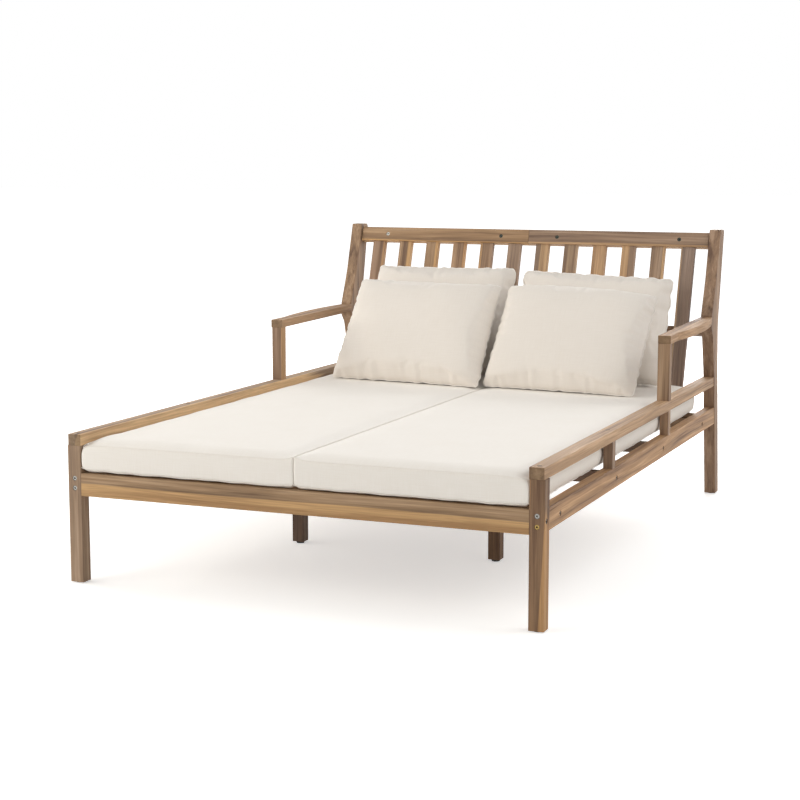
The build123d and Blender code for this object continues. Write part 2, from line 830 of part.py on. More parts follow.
# The front pillow stands on the cushion by the low edge of its back face, and the upper part of
# that face leans on the flat of the rear pillow's front face
front_sin = sin(radians(front_pillow_lean))
front_cos = cos(radians(front_pillow_lean))
half_thickness = pillow_thickness / 2
front_pillow_foot = min(
    inset * pillow_height / 2 * front_cos - thick * half_thickness * front_sin
    for thick, inset in pillow_face_shares
)
front_pillow_base = cushion_top + fit_clearance + pillow_foot_swell - front_pillow_foot
front_back_levels = [
    (pillow_height - inset * pillow_height / 2, thick * half_thickness)
    for thick, inset in pillow_face_shares
]
front_pillow_setback = max(
    up * front_sin + out * front_cos - (up * front_cos - out * front_sin) * lean_tan
    for up, out in front_back_levels
)
rear_face = (
    rear_pillow_plane.origin.Y
    + (front_pillow_base - rear_pillow_base) * lean_tan
    - half_thickness / lean_cos
)
front_pillow_plane = leaning_plane(
    rear_face - front_pillow_setback - pillow_face_swell - fit_clearance,
    front_pillow_base,
    front_pillow_lean,
)
for pillow_name, plane, side, corners in (
    ("rear_pillow_left", rear_pillow_plane, -1, rear_left_corners),
    ("rear_pillow_right", rear_pillow_plane, 1, rear_right_corners),
    ("front_pillow_left", front_pillow_plane, -1, front_left_corners),
    ("front_pillow_right", front_pillow_plane, 1, front_right_corners),
):
    with BuildPart() as pillow:
        for face_side in (1, -1):
            loft(
                [
                    pillow_level(plane, corners, side, face_side, thick, inset)
                    for thick, inset in pillow_face_shares
                ]
            )
    write_piece(pillow, pillow_name)
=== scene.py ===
from math import cos, pi, radians, sin, tan

import bpy
import numpy as np
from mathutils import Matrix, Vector


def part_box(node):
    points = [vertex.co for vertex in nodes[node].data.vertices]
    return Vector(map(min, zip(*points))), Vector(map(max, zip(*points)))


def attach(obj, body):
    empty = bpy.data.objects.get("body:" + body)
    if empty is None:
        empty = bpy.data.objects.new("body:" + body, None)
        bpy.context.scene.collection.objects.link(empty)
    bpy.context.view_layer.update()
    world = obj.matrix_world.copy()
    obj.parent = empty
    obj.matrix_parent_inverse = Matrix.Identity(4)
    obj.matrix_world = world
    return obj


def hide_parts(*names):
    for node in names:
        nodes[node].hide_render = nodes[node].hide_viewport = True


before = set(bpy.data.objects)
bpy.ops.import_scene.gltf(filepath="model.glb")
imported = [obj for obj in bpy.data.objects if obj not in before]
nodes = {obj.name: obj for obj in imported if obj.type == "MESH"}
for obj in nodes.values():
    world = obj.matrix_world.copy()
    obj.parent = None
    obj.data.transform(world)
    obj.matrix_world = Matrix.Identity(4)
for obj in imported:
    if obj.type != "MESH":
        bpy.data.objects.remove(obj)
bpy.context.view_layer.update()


# The timber frame. Acacia boards, planed and with eased edges, wiped with a matt brown oil. Each
# board has its grain along its length, grey-brown heartwood and, on some, a honey-coloured band
# of sapwood along one edge, so every board gets its own cut of the same wood.
def linear(code):
    """An sRGB hex colour as linear red, green, blue and alpha."""
    shares = np.array([int(code[i:i + 2], 16) / 255 for i in (1, 3, 5)])
    low, high = shares / 12.92, ((shares + 0.055) / 1.055) ** 2.4
    return (*np.where(shares > 0.04045, high, low), 1)


def add(tree, kind, inputs=None, stops=None, **settings):
    """Adds a node. Settings are its own properties, an input takes a value or another node's
    socket, and stops are the places and colours of a ramp. Returns the node's outputs."""
    node = tree.nodes.new("ShaderNode" + kind)
    for name, value in settings.items():
        setattr(node, name, value)
    if stops:
        ramp = node.color_ramp.elements
        for place, colour in stops:
            ramp.new(place).color = colour
        ramp.remove(ramp[0])
        ramp.remove(ramp[-1])
    for name, value in (inputs or {}).items():
        if isinstance(value, bpy.types.NodeSocket):
            tree.links.new(value, node.inputs[name])
        else:
            node.inputs[name].default_value = value
    return node.outputs


def start_material(name):
    """An empty node material and its tree."""
    material = bpy.data.materials.new(name)
    material.use_nodes = True
    material.node_tree.nodes.clear()
    return material, material.node_tree


def dress(node, material):
    """Gives a CAD node this material."""
    for slot in nodes[node].material_slots:
        slot.link = "OBJECT"
        slot.material = material


heart_shades = [linear(code) for code in ("#6E5543", "#8F745B", "#9B7E62", "#B3967A")]
sap_shades = [linear(code) for code in ("#A5805A", "#C29C70")]
heart_stops, sap_stops = (0.39, 0.46, 0.53, 0.61), (0.4, 0.54)
lightness_spread, warmth_spread = 0.06, np.array((0.035, 0, -0.075))
grain_turns = {"x": (0, -pi / 2, 0), "y": (pi / 2, 0, 0), "z": (0, 0, 0)}

# Each mark of the grain: its real distance across the board, its scale along the grain as a
# share of the scale across it, and its share in the colour
flame_mm, flame_length, flame_share = 17, 0.028, 0.62
figure_mm, figure_length, figure_share = 34, 0.035, 0.38
streak_mm, streak_length = 3.4, 0.02
streak_low, streak_high = 0.3, 0.7
streak_dark, streak_light = 0.8, 1.12
wander_mm, wander_every_mm, wander_length, noise_swing = 9, 130, 0.16, 0.25
pore_depth_mm = 0.25
border_blur, dark_border, dark_border_shade = 0.0012, 0.014, 0.8
cut_end_shade, cut_end_share = linear("#6E5A44"), 0.65
cut_end_starts, cut_end_full = 0.8, 0.97


def acacia(name, grain, seed, sap=None, tone=(1, 1, 1)):
    """Oiled acacia. The rings are cut lengthwise far off the heart, so they show as flames many
    times longer than wide, and what makes them is noise stretched along the grain, which wanders
    a few millimetres to each side. Fine streaks of pores lie over them. Grain is the axis of the
    board's length or a turn that brings it upright. Sap is (direction, border in metres, wave in
    metres): past the border in that direction lies pale sapwood, with a dark line beside it.
    Tone multiplies the board's red, green and blue: the board's own tone, and on a few boards
    painted shade."""
    chance = np.random.default_rng(seed)
    lightness = chance.uniform(-lightness_spread, lightness_spread)
    tint = np.array(tone) * (1 + lightness + chance.uniform(-1, 1) * warmth_spread)
    turn = grain_turns.get(grain, grain)
    material, tree = start_material(name)
    place = add(tree, "TexCoord")["Object"]
    turned = add(tree, "Mapping", {
        "Vector": place,
        "Rotation": turn,
        "Location": chance.uniform(-4, 4, 3) * (1, 1, 3),
    })["Vector"]
    slow = add(tree, "Mapping", {"Vector": turned, "Scale": (1, 1, wander_length)})["Vector"]
    sway = add(tree, "TexNoise", {
        "Vector": slow, "Scale": 1000 / wander_every_mm, "Detail": 2.0, "Roughness": 0.45,
    })["Color"]
    sway = add(tree, "VectorMath", {0: sway, 1: (0.5, 0.5, 0.5)}, operation="SUBTRACT")[0]
    push = wander_mm / 1000 / noise_swing
    swayed = add(tree, "VectorMath", {
        0: sway, 1: (push, push, 0), 2: turned,
    }, operation="MULTIPLY_ADD")[0]

    # Flames of the rings, the broader figure across a board, and the streaks of its pores
    flamed = add(tree, "Mapping", {"Vector": swayed, "Scale": (1, 1, flame_length)})["Vector"]
    flame = add(tree, "TexNoise", {
        "Vector": flamed, "Scale": 1000 / flame_mm, "Detail": 4.0, "Roughness": 0.58,
        "Distortion": 0.35,
    })["Fac"]
    figured = add(tree, "Mapping", {"Vector": swayed, "Scale": (1, 1, figure_length)})["Vector"]
    figure = add(tree, "TexNoise", {
        "Vector": figured, "Scale": 1000 / figure_mm, "Detail": 1.5, "Roughness": 0.5,
    })["Fac"]
    streaked = add(tree, "Mapping", {"Vector": swayed, "Scale": (1, 1, streak_length)})["Vector"]
    streak = add(tree, "TexNoise", {
        "Vector": streaked, "Scale": 1000 / streak_mm, "Detail": 3.0, "Roughness": 0.6,
    })["Fac"]
    broad = add(tree, "Math", {0: figure, 1: figure_share}, operation="MULTIPLY")[0]
    mixed = add(tree, "Math", {0: flame, 1: flame_share, 2: broad}, operation="MULTIPLY_ADD")[0]
    colour = add(tree, "ValToRGB", {"Fac": mixed}, stops=list(zip(
        heart_stops, heart_shades)))["Color"]
    if sap:
        direction, border, wave = sap
        across = add(tree, "VectorMath", {0: place, 1: direction}, operation="DOT_PRODUCT")[
            "Value"]
        waver = add(tree, "Math", {0: figure, 1: 0.5}, operation="SUBTRACT")[0]
        edge = add(tree, "Math", {0: waver, 1: wave, 2: across}, operation="MULTIPLY_ADD")[0]
        share = add(tree, "MapRange", {
            "Value": edge, "From Min": border - border_blur, "From Max": border + border_blur,
        }, interpolation_type="SMOOTHSTEP")["Result"]
        beside = add(tree, "MapRange", {
            "Value": edge, "From Min": border - dark_border, "From Max": border,
            "To Min": 1.0, "To Max": dark_border_shade,
        })["Result"]
        heart = add(tree, "VectorMath", {0: colour, "Scale": beside}, operation="SCALE")[0]
        pale = add(tree, "ValToRGB", {"Fac": mixed}, stops=list(zip(
            sap_stops, sap_shades)))["Color"]
        colour = add(tree, "Mix", {0: share, 6: heart, 7: pale}, data_type="RGBA")[2]
    fine = add(tree, "MapRange", {
        "Value": streak, "From Min": streak_low, "From Max": streak_high,
        "To Min": streak_dark, "To Max": streak_light,
    })["Result"]
    colour = add(tree, "VectorMath", {0: colour, 1: tuple(tint)}, operation="MULTIPLY")[0]
    colour = add(tree, "VectorMath", {0: colour, "Scale": fine}, operation="SCALE")[0]

    # A sawn end drinks more oil, so it is darker: that is where the surface faces along the grain
    facing = add(tree, "Mapping", {
        "Vector": add(tree, "TexCoord")["Normal"], "Rotation": turn,
    }, vector_type="VECTOR")["Vector"]
    lengthwise = add(tree, "SeparateXYZ", {0: facing})["Z"]
    lengthwise = add(tree, "Math", {0: lengthwise}, operation="ABSOLUTE")[0]
    cut_end = add(tree, "MapRange", {
        "Value": lengthwise, "From Min": cut_end_starts, "From Max": cut_end_full,
        "To Max": cut_end_share,
    })["Result"]
    colour = add(tree, "Mix", {0: cut_end, 6: colour, 7: cut_end_shade}, data_type="RGBA")[2]
    rough = add(tree, "MapRange", {
        "Value": streak, "From Min": streak_low, "From Max": streak_high,
        "To Min": 0.72, "To Max": 0.56,
    })["Result"]
    relief = add(tree, "Bump", {
        "Height": streak, "Strength": 0.35, "Distance": pore_depth_mm / 1000,
    })["Normal"]
    surface = add(tree, "BsdfPrincipled", {
        "Base Color": colour, "Roughness": rough, "Normal": relief, "IOR": 1.5,
        "Specular IOR Level": 0.35,
    })["BSDF"]
    add(tree, "OutputMaterial", {"Surface": surface})
    return material


back_lean = radians(17.4)
boards = {
    "x": ["front_rail", "mid_back_rail", "back_bearer", "back_batten_middle"]
    + ["cross_bearer_1", "cross_bearer_2", "cross_bearer_3"]
    + ["top_back_rail_left", "top_back_rail_right", "back_batten_left", "back_batten_right"],
    "y": [f"seat_slat_{i}" for i in range(1, 9)]
    + [f"{piece}_{side}" for piece in ("side_top_rail", "side_apron", "armrest")
       for side in ("left", "right")],
    "z": [f"{piece}_{side}" for piece in (
        "front_leg", "rear_post", "front_spacer", "rear_spacer", "arm_post", "mid_leg")
        for side in ("left", "right")],
    (back_lean, 0, 0): [f"back_slat_{i}" for i in range(1, 13)],
}

# Which boards show sapwood, and on which side, and each board's tone: its own, but for the mid
# legs and the right front spacer, whose darker tones are painted shade
slat_pitch = 0.1034
slat_middle = {i: (i - 6.5) * slat_pitch for i in range(1, 13)}
down_the_back = (0, -sin(back_lean), -cos(back_lean))
sapwood = {
    "front_rail": ((0, 0, -1), -0.274, 0.03),
    "top_back_rail_right": (down_the_back, -1.0885, 0.02),
    "top_back_rail_left": (down_the_back, -1.0865, 0.02),
    "front_leg_right": ((1, 0, -0.05), 0.6625, 0.01),
    "side_top_rail_left": ((1, -0.012, -0.1), -0.679, 0.02),
    "side_apron_left": ((1, 0, 0), -0.65, 0.02),
    "arm_post_left": ((1, 0, 0), -0.6425, 0.004),
    "back_slat_1": ((1, 0, 0), slat_middle[1] + 0.0165, 0.008),
    "back_slat_2": ((1, 0, 0), slat_middle[2] + 0.010, 0.012),
    "back_slat_3": ((1, 0, 0), slat_middle[3] + 0.013, 0.010),
    "back_slat_4": ((1, 0, 0), slat_middle[4] + 0.017, 0.008),
    "back_slat_5": ((-1, 0, 0), 0.0155 - slat_middle[5], 0.008),
    "back_slat_7": ((1, 0, 0), slat_middle[7] - 0.008, 0.03),
    "back_slat_9": ((1, 0, 0), slat_middle[9] - 0.04, 0.02),
    "back_slat_10": ((-1, 0, 0), -0.002 - slat_middle[10], 0.02),
    "back_slat_11": ((1, 0, 0), slat_middle[11] + 0.017, 0.01),
    "back_slat_12": ((-1, 0, 0), 0.018 - slat_middle[12], 0.01),
}
tones_and_painted_shade = {
    "arm_post_left": (0.78, 0.78, 0.88), "armrest_left": (1.17, 1.12, 1.03),
    "armrest_right": (1.12, 1.0, 0.83), "back_slat_1": (0.79, 0.74, 0.74),
    "back_slat_4": (1.04, 1.04, 1.08), "back_slat_5": (0.84, 0.83, 0.87),
    "back_slat_6": (1.01, 1.05, 1.17), "back_slat_7": (0.98, 1.02, 1.14),
    "back_slat_8": (1.29, 1.40, 1.52), "back_slat_9": (0.93, 0.94, 1.02),
    "back_slat_10": (0.96, 1.02, 1.2), "back_slat_11": (0.98, 1.03, 1.16),
    "back_slat_12": (0.87, 0.98, 1.3), "front_rail": (1.0, 1.03, 1.06),
    "cross_bearer_2": (0.8, 0.8, 0.95), "cross_bearer_3": (0.7, 0.75, 0.95),
    "front_leg_left": (1.03, 1.07, 1.14), "front_leg_right": (0.89, 0.82, 0.75),
    # The darker tones of the mid legs and the right front spacer are painted shade: the shade
    # under the daybed and under the side rail.
    "front_spacer_right": (0.83, 0.82, 0.86), "mid_leg_left": (0.54, 0.54, 0.62),
    "mid_leg_right": (0.62, 0.57, 0.56), "rear_post_left": (0.87, 0.88, 0.93),
    "rear_post_right": (0.92, 0.91, 0.97), "rear_spacer_right": (1.1, 1.12, 1.2),
    "side_apron_right": (1.19, 1.09, 0.95), "side_top_rail_left": (1.30, 1.42, 1.60),
    "side_top_rail_right": (1.22, 1.2, 1.16), "top_back_rail_right": (0.9, 0.92, 1.01),
}
grains = [(name, grain) for grain, names in boards.items() for name in names]
for seed, (name, grain) in enumerate(grains, 1):
    tone = tones_and_painted_shade.get(name, (1, 1, 1))
    dress(name, acacia(f"oiled acacia, {name}", grain, seed, sapwood.get(name), tone))

# Plugs over the rail screws. Turned from the same wood and glued in with the end grain up, so
# they are darker than the rail, with a dark line of glue round them.
plug_places = (-0.9565, -0.354)
plug_x, plug_radius = 0.656, 0.006
glue_starts, glue_full = plug_radius - 0.002, plug_radius - 0.0006
pore_mm = 10 / 9  # nine pores in a centimetre
material, tree = start_material("end grain plug")
place = add(tree, "TexCoord")["Object"]
parts = add(tree, "SeparateXYZ", {0: place})
sideways = add(tree, "Math", {0: parts["X"]}, operation="ABSOLUTE")[0]
sideways = add(tree, "Math", {0: sideways, 1: plug_x}, operation="SUBTRACT")[0]
along = [add(tree, "Math", {0: parts["Y"], 1: y}, operation="SUBTRACT")[0] for y in plug_places]
along = [add(tree, "Math", {0: value}, operation="ABSOLUTE")[0] for value in along]
nearest = add(tree, "Math", {0: along[0], 1: along[1]}, operation="MINIMUM")[0]
spot = add(tree, "CombineXYZ", {"X": sideways, "Y": nearest})[0]
away = add(tree, "VectorMath", {0: spot}, operation="LENGTH")["Value"]
glue = add(tree, "MapRange", {
    "Value": away, "From Min": glue_starts, "From Max": glue_full})["Result"]
pores = add(tree, "TexNoise", {
    "Vector": place, "Scale": 1000 / pore_mm, "Detail": 2.0})["Fac"]
end_grain = add(tree, "ValToRGB", {"Fac": pores}, stops=(
    (0.35, linear("#4F3D2D")), (0.6, linear("#735B43"))))["Color"]
colour = add(tree, "Mix", {0: glue, 6: end_grain, 7: linear("#1E1611")}, data_type="RGBA")[2]
surface = add(tree, "BsdfPrincipled", {"Base Color": colour, "Roughness": 0.7, "IOR": 1.5})[0]
add(tree, "OutputMaterial", {"Surface": surface})
dress("rail_plugs", material)

# Bolts, barrel nuts and screws. Zinc-plated steel, pressed and tumbled, so dull and even with a
# faint mottle, and darkened in their sockets and round their rims as painted shade. The lower
# bolt in the right front leg is yellow-passivated, and those of the back rail have gone dull, but
# for the leftmost.
right_side, front_side, between_leg_bolts = 0.6, -0.96, 0.2705
back_side, past_leftmost = 0.5, -0.4
mottle_mm = 10 / 7  # seven spots in a centimetre
painted_shade_reach, painted_shade_deep, painted_shade_thin = 0.005, 0.5, 0.95
material, tree = start_material("zinc plated steel")
place = add(tree, "TexCoord")["Object"]
parts = add(tree, "SeparateXYZ", {0: place})
to_right = add(tree, "Math", {0: parts["X"], 1: right_side}, operation="GREATER_THAN")[0]
to_front = add(tree, "Math", {0: parts["Y"], 1: front_side}, operation="LESS_THAN")[0]
low = add(tree, "Math", {0: parts["Z"], 1: between_leg_bolts}, operation="LESS_THAN")[0]
yellow = add(tree, "Math", {0: to_right, 1: to_front}, operation="MULTIPLY")[0]
yellow = add(tree, "Math", {0: yellow, 1: low}, operation="MULTIPLY")[0]
mottle = add(tree, "TexNoise", {
    "Vector": place, "Scale": 1000 / mottle_mm, "Detail": 3.0})["Fac"]
zinc = add(tree, "ValToRGB", {"Fac": mottle}, stops=(
    (0.3, linear("#7C7A75")), (0.7, linear("#BAB7B1"))))["Color"]
brass = add(tree, "ValToRGB", {"Fac": mottle}, stops=(
    (0.3, linear("#80693E")), (0.7, linear("#C2A468"))))["Color"]
behind = add(tree, "Math", {0: parts["Y"], 1: back_side}, operation="GREATER_THAN")[0]
others = add(tree, "Math", {0: parts["X"], 1: past_leftmost}, operation="GREATER_THAN")[0]
aged = add(tree, "Math", {0: behind, 1: others}, operation="MULTIPLY")[0]
zinc = add(tree, "Mix", {0: aged, 6: zinc, 7: linear("#4D4F49")}, data_type="RGBA")[2]
colour = add(tree, "Mix", {0: yellow, 6: zinc, 7: brass}, data_type="RGBA")[2]
# Painted shade: the colour is darkened where ambient occlusion finds the sockets and the wood
# round the rims
opening = add(tree, "AmbientOcclusion", {"Distance": painted_shade_reach}, samples=8)["AO"]
painted_shade_share = add(tree, "MapRange", {
    "Value": opening, "From Min": painted_shade_deep, "From Max": painted_shade_thin,
    "To Min": 0.06, "To Max": 1.0,
})["Result"]
colour = add(tree, "VectorMath", {0: colour, "Scale": painted_shade_share}, operation="SCALE")[0]
dull = add(tree, "MapRange", {"Value": mottle, "To Min": 0.22, "To Max": 0.4})["Result"]
surface = add(tree, "BsdfPrincipled", {
    "Base Color": colour, "Metallic": 1.0, "Roughness": dull})["BSDF"]
add(tree, "OutputMaterial", {"Surface": surface})
for node in ("frame_bolts", "barrel_nuts", "rail_screws"):
    dress(node, material)

# Floor glides. Black polyethylene, moulded, nailed under the feet, scuffed grey where they slide.
scuff_mm = 50 / 13  # thirteen scuffs in five centimetres
material, tree = start_material("moulded black polyethylene")
place = add(tree, "TexCoord")["Object"]
scuff = add(tree, "TexNoise", {
    "Vector": place, "Scale": 1000 / scuff_mm, "Detail": 3.0})["Fac"]
colour = add(tree, "ValToRGB", {"Fac": scuff}, stops=(
    (0.4, linear("#151515")), (0.75, linear("#2E2D2C"))))["Color"]
worn = add(tree, "MapRange", {"Value": scuff, "To Min": 0.4, "To Max": 0.65})["Result"]
surface = add(tree, "BsdfPrincipled", {"Base Color": colour, "Roughness": worn, "IOR": 1.51})[0]
add(tree, "OutputMaterial", {"Surface": surface})
dress("floor_glides", material)


# Seat cushions. A foam block in a boxed cover of cream canvas: a top and a bottom panel, a strip
# round the sides, and a welted seam along each edge of the strip. They lie loose on the slats
# between the side rails, and meet in the middle.
thread_mm = 2.0
waves_per_scale = 20 / (2 * pi)  # waves in a metre when the wave texture's scale is 1
slub_mm, slub_stretch = 3.125, 0.06
shade_mm = 1000 / 7  # seven soft shades in a metre
weave_depth, slub_depth = 0.0004, 0.0006


def canvas(name, pale, deep):
    """Plain-woven polyester canvas: matt and even, a little uneven in its threads, with a soft
    sheen at grazing angles. The threads are 0.6 mm apart on the real cloth, too fine to show,
    and are drawn 2 mm apart. They follow the cut of the panels, which is the UV map, in metres."""
    material, tree = start_material(name)
    cut = add(tree, "UVMap", uv_map="cut")["UV"]
    ridges = [add(tree, "TexWave", {
        "Vector": cut, "Scale": 1000 / thread_mm / waves_per_scale, "Distortion": 1.2,
        "Detail": 2.0, "Detail Scale": 0.4,
    }, bands_direction=axis)["Fac"] for axis in ("X", "Y")]
    weave = add(tree, "Math", {0: ridges[0], 1: ridges[1]}, operation="ADD")[0]
    slubs = [add(tree, "TexNoise", {
        "Vector": add(tree, "Mapping", {"Vector": cut, "Scale": stretch})["Vector"],
        "Scale": 1000 / slub_mm, "Detail": 3.0,
    })["Fac"] for stretch in ((slub_stretch, 1, 1), (1, slub_stretch, 1))]
    slub = add(tree, "Math", {0: slubs[0], 1: slubs[1]}, operation="ADD")[0]
    shade = add(tree, "TexNoise", {
        "Vector": cut, "Scale": 1000 / shade_mm, "Detail": 3.0})["Fac"]
    broad = add(tree, "Math", {0: shade, 1: 0.3}, operation="MULTIPLY")[0]
    mixed = add(tree, "Math", {0: slub, 1: 0.5, 2: broad}, operation="MULTIPLY_ADD")[0]
    colour = add(tree, "ValToRGB", {"Fac": mixed}, stops=((0.4, deep), (0.85, pale)))["Color"]
    relief = add(tree, "Bump", {
        "Height": weave, "Strength": 0.12, "Distance": weave_depth})["Normal"]
    relief = add(tree, "Bump", {
        "Height": slub, "Strength": 0.1, "Distance": slub_depth, "Normal": relief})["Normal"]
    surface = add(tree, "BsdfPrincipled", {
        "Base Color": colour, "Roughness": 0.92, "Normal": relief, "IOR": 1.5,
        "Specular IOR Level": 0.2, "Sheen Weight": 0.12, "Sheen Roughness": 0.5,
    })["BSDF"]
    add(tree, "OutputMaterial", {"Surface": surface})
    return material


def make_piece(name, points, squares, cut, material):
    """A smooth mesh object at the origin, from points and squares in metres, with the place of
    every corner on the flat cloth as its UV map."""
    mesh = bpy.data.meshes.new(name)
    mesh.from_pydata(points.tolist(), [], squares.tolist())
    mesh.polygons.foreach_set("use_smooth", np.ones(len(squares), bool))
    mesh.uv_layers.new(name="cut").data.foreach_set("uv", cut.ravel())
    mesh.materials.append(material)
    piece = bpy.data.objects.new(name, mesh)
    bpy.context.collection.objects.link(piece)
    return piece


def inflate(points, squares, pressure, spare, cap, frames=20):
    """The cover as cloth, blown up by an even pressure without gravity for a few frames, its
    cloth longer by the spare share. Returns the new points, none further than cap from its
    start: a longer move is shortened to the cap."""
    mesh = bpy.data.meshes.new("cover")
    mesh.from_pydata(points.tolist(), [], squares.tolist())
    cover = bpy.data.objects.new("cover", mesh)
    bpy.context.collection.objects.link(cover)
    cloth = cover.modifiers.new("cloth", "CLOTH")
    for name, value in {
        "quality": 4, "mass": 0.25, "tension_stiffness": 20, "compression_stiffness": 20,
        "shear_stiffness": 8, "bending_stiffness": 0.6, "air_damping": 2,
        "use_pressure": True, "uniform_pressure_force": pressure, "shrink_min": -spare,
    }.items():
        setattr(cloth.settings, name, value)
    cloth.settings.effector_weights.gravity = 0
    cloth.collision_settings.use_collision = False
    for frame_number in range(1, frames + 1):
        bpy.context.scene.frame_set(frame_number)
    blown = cover.evaluated_get(bpy.context.evaluated_depsgraph_get()).data
    moved = np.empty(len(blown.vertices) * 3)
    blown.vertices.foreach_get("co", moved)
    bpy.data.objects.remove(cover)
    bpy.context.scene.frame_set(1)
    step = moved.reshape(-1, 3) - points
    length = np.linalg.norm(step, axis=1, keepdims=True)
    return points + step * np.minimum(1, cap / np.maximum(length, 1e-9))


def welt(name, path, outwards, radius, material):
    """A thin round welt along a closed seam: a circle carried along the path, its spokes turned
    by the outwards direction and the seam's own direction."""
    forwards = np.roll(path, -1, 0) - np.roll(path, 1, 0)
    forwards /= np.linalg.norm(forwards, axis=1, keepdims=True)
    beside = np.cross(forwards, outwards)
    beside /= np.linalg.norm(beside, axis=1, keepdims=True)
    above = np.cross(beside, forwards)
    sides = 6
    angle = np.arange(sides)[:, None] * 2 * pi / sides
    spokes = np.cos(angle) * beside[:, None] + np.sin(angle) * above[:, None]
    points = (path[:, None] + radius * spokes).reshape(-1, 3)
    i, j = np.meshgrid(np.arange(len(path)), np.arange(sides), indexing="ij")
    next_i, next_j = (i + 1) % len(path), (j + 1) % sides
    squares = np.stack([i * sides + j, next_i * sides + j, next_i * sides + next_j,
                        i * sides + next_j], -1).reshape(-1, 4)
    distance = np.concatenate([[0], np.cumsum(np.linalg.norm(np.diff(path, axis=0), axis=1))])
    cut = np.stack([distance[i], j * 2 * pi * radius / sides], -1)
    cut = np.repeat(cut.reshape(-1, 1, 2), 4, 1)
    return make_piece(name, points, squares, cut.reshape(-1, 2), material)


def box_grid(steps):
    """A box's surface in squares: each side is a grid, and points on shared edges are merged.
    Returns the points as shares along x, y and z, the squares, and the axis each one faces."""
    size = np.array(steps) + 1
    squares, facing = [], []
    for axis in range(3):
        a, b = (axis + 1) % 3, (axis + 2) % 3
        i, j = np.meshgrid(np.arange(steps[a]), np.arange(steps[b]), indexing="ij")
        for end in (0, steps[axis]):
            spot = np.zeros((4, steps[a], steps[b], 3), int)
            spot[..., axis] = end
            for corner, (da, db) in enumerate(((0, 0), (1, 0), (1, 1), (0, 1))):
                spot[corner, ..., a] = i + da
                spot[corner, ..., b] = j + db
            ids = (spot[..., 0] * size[1] + spot[..., 1]) * size[2] + spot[..., 2]
            quads = ids.reshape(4, -1).T
            squares.append(quads if end else quads[:, ::-1])
            facing.append(np.full(len(quads), axis))
    kept, renamed = np.unique(np.concatenate(squares), return_inverse=True)
    points = np.stack(np.unravel_index(kept, size), 1) / steps
    return points, renamed.reshape(-1, 4), np.concatenate(facing)


def ripple(chance, along, shortest, longest, count=7):
    """An uneven wave along a length: the mean of a few sines with random lengths and starts."""
    waves = chance.uniform(shortest, longest, count)
    starts = chance.uniform(0, 2 * pi, count)
    return np.mean(np.sin(2 * pi * along[..., None] / waves + starts), -1) * 2


def crowded(t, even, bent):
    """Grid lines drawn towards both ends: a share of the place itself plus one of its sine."""
    return even * t + bent * np.sin(t * pi / 2)


seat_canvas_and_seam_highlight = canvas("cream canvas, seat", linear("#F8F4EF"), linear("#F3EEE7"))
cushion_crowding = (0.45, 0.55)
cushion_grid, cushion_squares, cushion_facing = box_grid((44, 112, 7))
seat_low, seat_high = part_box("seat_cushion_right")
deck, crest = seat_low.z, seat_high.z

# The form: the crown over the top seam, lower at the split; the bottom seam's height over the
# slats; and how far both seams draw together at the outer corners
crown, split_crown, split_spread = 0.014, 0.005, 0.02
crown_quick, crown_slow = (0.55, 0.012), (0.45, 0.06)
lower_lift, foot_tuck = 0.007, 0.006
foot_wave, foot_wave_lengths, foot_wave_reach = 0.0014, (0.05, 0.16), 0.02
top_wave, top_wave_lengths, top_wave_starts = 0.0008, (0.09, 0.4), 0.004
corner_drop, corner_lift, corner_spread = 0.009, 0.007, 0.022
crown_blend = 0.02

# The plan: the front's reach past the solid, the corners' radii, and how far the sides bulge,
# the long side swells between the spacers, the ends draw in and the front corner reaches out
front_reach = 0.014
seam_round, foot_round, rear_round, split_round = 0.018, 0.003, 0.005, 0.0008
bulge, side_bulge, end_draw = 0.0022, 0.006, 0.002
corner_reach, corner_reach_spread = 0.003, 0.03

# The room: the slats' plane behind, the gap between the last slat and the post, the leg, the
# side rail above and the other cushion. The two gaps are those of the cushion before it is
# blown up, from the slats behind it and below it
slope = tan(back_lean)
rear_at_crest = 0.7768
last_slat_edge, slant_starts, slant_width = 0.5922, 0.006, 0.018
rail_under, leg_rear = 0.378, -0.93
rail_room, open_room, leg_room, split_room = 0.0006, 0.009, 0.0026, 0.0003
slat_room, deck_room, split_overrun = 0.0006, 0.0003, 0.0002
rear_gap, deck_gap = 0.0005, 0.0006


def crown_rise(distance):
    """The share of the crown at a distance in from the seam: a quick rise, then a slow one."""
    return sum(share * (1 - np.exp(-distance / reach)) for share, reach in (
        crown_quick, crown_slow))


def slant(x):
    """The share of the back slats' slope that the rear side follows: all of it along the slats,
    none at the outer corner, which stands upright in the gap between slat and post."""
    t = np.clip((x - last_slat_edge - slant_starts) / slant_width, 0, 1)
    return 1 - t * t * (3 - 2 * t)


